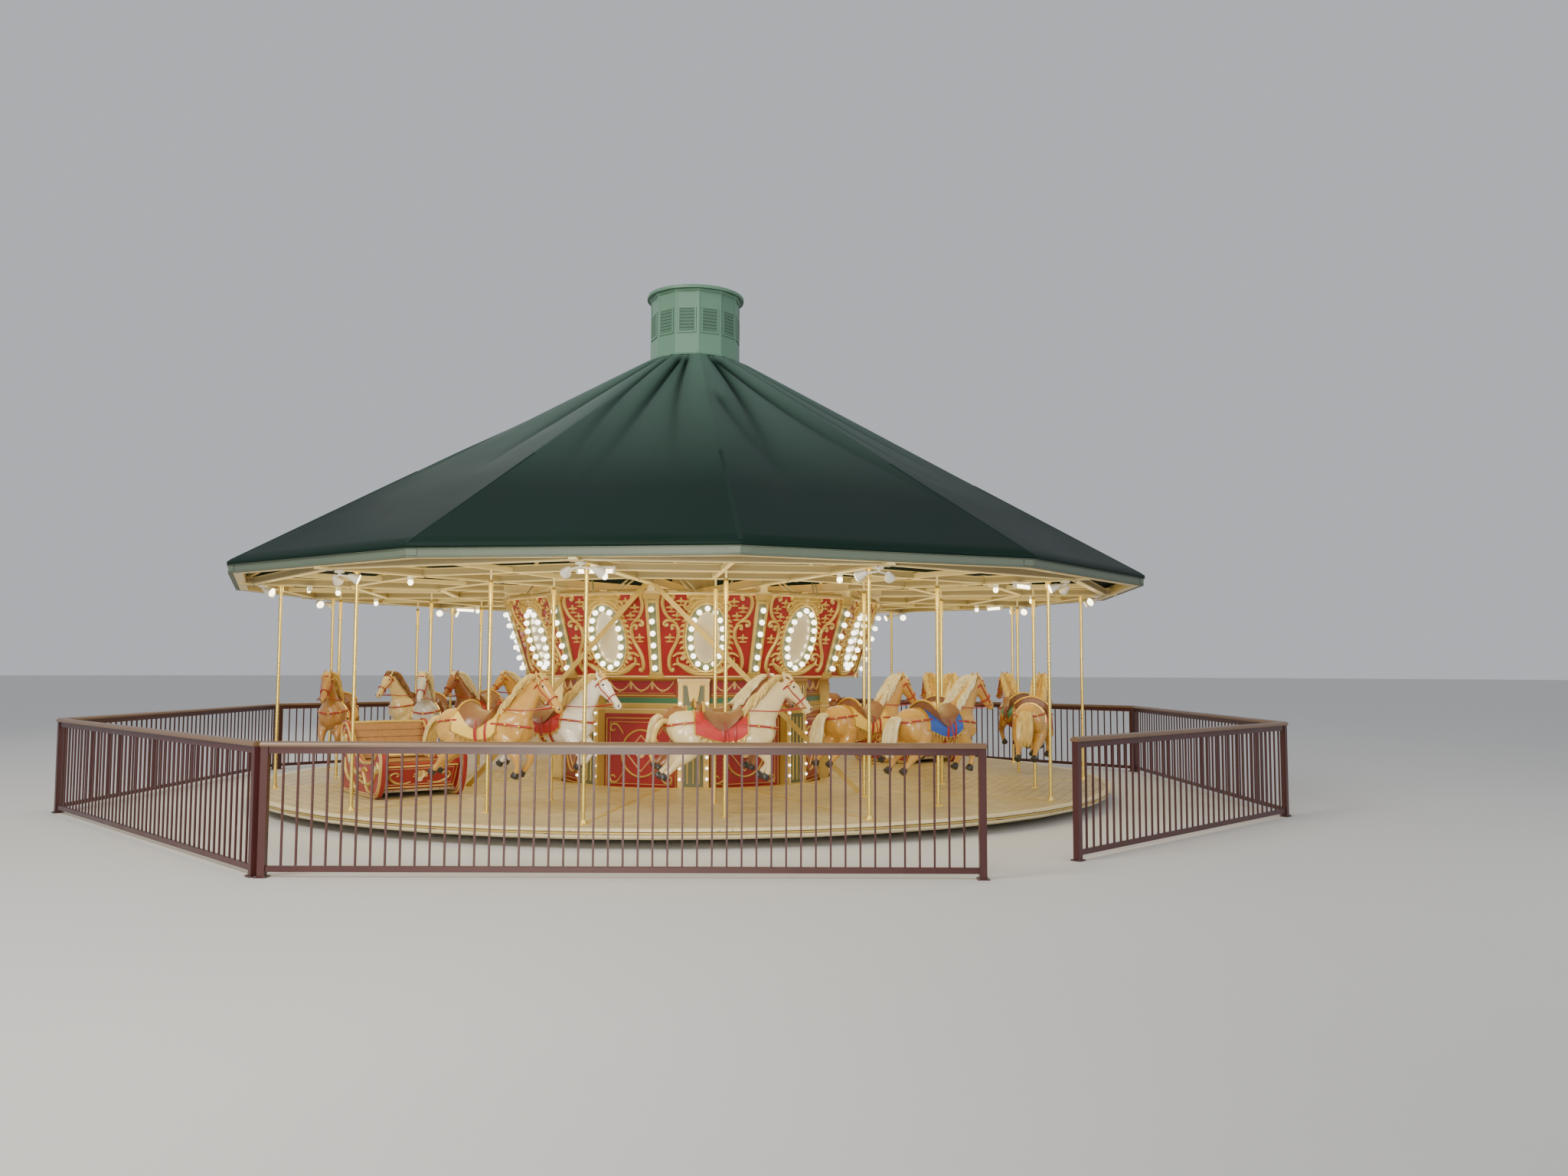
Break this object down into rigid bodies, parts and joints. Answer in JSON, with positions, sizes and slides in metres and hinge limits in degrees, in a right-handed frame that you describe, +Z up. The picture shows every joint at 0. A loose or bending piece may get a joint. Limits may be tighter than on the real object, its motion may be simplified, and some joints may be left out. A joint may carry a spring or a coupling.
{
  "type": "carousel",
  "caption": "Park carousel: dark green stretched canopy with a louvred cupola over a turning platform of jumping horses, flared red and gold centre panels and a picket fence round it.",
  "frame": {"origin": "on the floor under the centre mast", "axes": "+Z up along the mast, front of the fence at -Y"},
  "size_m": [14.49, 14.49, 7.095],
  "materials": {
    "roof_green": "dark green coated fabric cover, semi gloss",
    "fascia_green": "grey-green painted metal",
    "cupola_green": "light sage green painted metal",
    "frame_cream": "cream gloss paint on steel",
    "brass_poles": "polished brass sleeve",
    "deck": "painted timber boards, pale rim",
    "scenery_red": "dark red gloss paint",
    "scenery_gold": "gold paint",
    "horse_paint": "painted gloss, coats of cream, chestnut and tan",
    "chariot_paint": "dark red and gold gloss paint",
    "fence_maroon": "maroon painted steel",
    "mast_grey": "grey painted steel"
  },
  "bodies": {
    "base": {"centre_mast": "mast_grey", "fence_back": "fence_maroon", "fence_back_left": "fence_maroon", "fence_back_right": "fence_maroon", "fence_front": "fence_maroon", "fence_front_left": "fence_maroon", "fence_front_right": "fence_maroon", "fence_left": "fence_maroon", "fence_right": "fence_maroon", "housing_base": "scenery_red", "housing_frieze": "scenery_red", "housing_moulding": "scenery_gold"},
    "machine": {"ceiling_frame": "frame_cream", "centre_panels": "scenery_red", "chariot_1": "chariot_paint", "chariot_2": "chariot_paint", "cupola_cap": "cupola_green", "cupola_drum": "cupola_green", "drop_rod_01": "brass_poles", "drop_rod_02": "brass_poles", "drop_rod_03": "brass_poles", "drop_rod_04": "brass_poles", "drop_rod_05": "brass_poles", "drop_rod_06": "brass_poles", "drop_rod_07": "brass_poles", "drop_rod_08": "brass_poles", "drop_rod_09": "brass_poles", "drop_rod_10": "brass_poles", "drop_rod_11": "brass_poles", "drop_rod_12": "brass_poles", "fascia": "fascia_green", "platform": "deck", "platform_brace_back_left": "scenery_gold", "platform_brace_back_right": "scenery_gold", "platform_brace_front_left": "scenery_gold", "platform_brace_front_right": "scenery_gold", "roof": "roof_green"},
    "jumpers_rising": {"horse_inner_02": "horse_paint", "horse_inner_04": "horse_paint", "horse_inner_06": "horse_paint", "horse_inner_08": "horse_paint", "horse_inner_10": "horse_paint", "horse_outer_01": "horse_paint", "horse_outer_03": "horse_paint", "horse_outer_05": "horse_paint", "horse_outer_07": "horse_paint", "horse_outer_09": "horse_paint"},
    "jumpers_falling": {"horse_inner_01": "horse_paint", "horse_inner_03": "horse_paint", "horse_inner_05": "horse_paint", "horse_inner_07": "horse_paint", "horse_inner_09": "horse_paint", "horse_outer_02": "horse_paint", "horse_outer_04": "horse_paint", "horse_outer_06": "horse_paint", "horse_outer_08": "horse_paint", "horse_outer_10": "horse_paint"}
  },
  "joints": [
    {"name": "machine_turn", "type": "hinge", "parent": "base", "child": "machine", "pos_m": [0, 0, 0], "axis": [0, 0, 1], "continuous": true},
    {"name": "rising_slide", "type": "slide", "parent": "machine", "child": "jumpers_rising", "axis": [0, 0, 1], "range_m": [-0.09, 0.09]},
    {"name": "falling_slide", "type": "slide", "parent": "machine", "child": "jumpers_falling", "axis": [0, 0, 1], "range_m": [-0.09, 0.09]}
  ],
  "couplings": [
    {"joint": "falling_slide", "follows": "rising_slide", "ratio": -1}
  ]
}
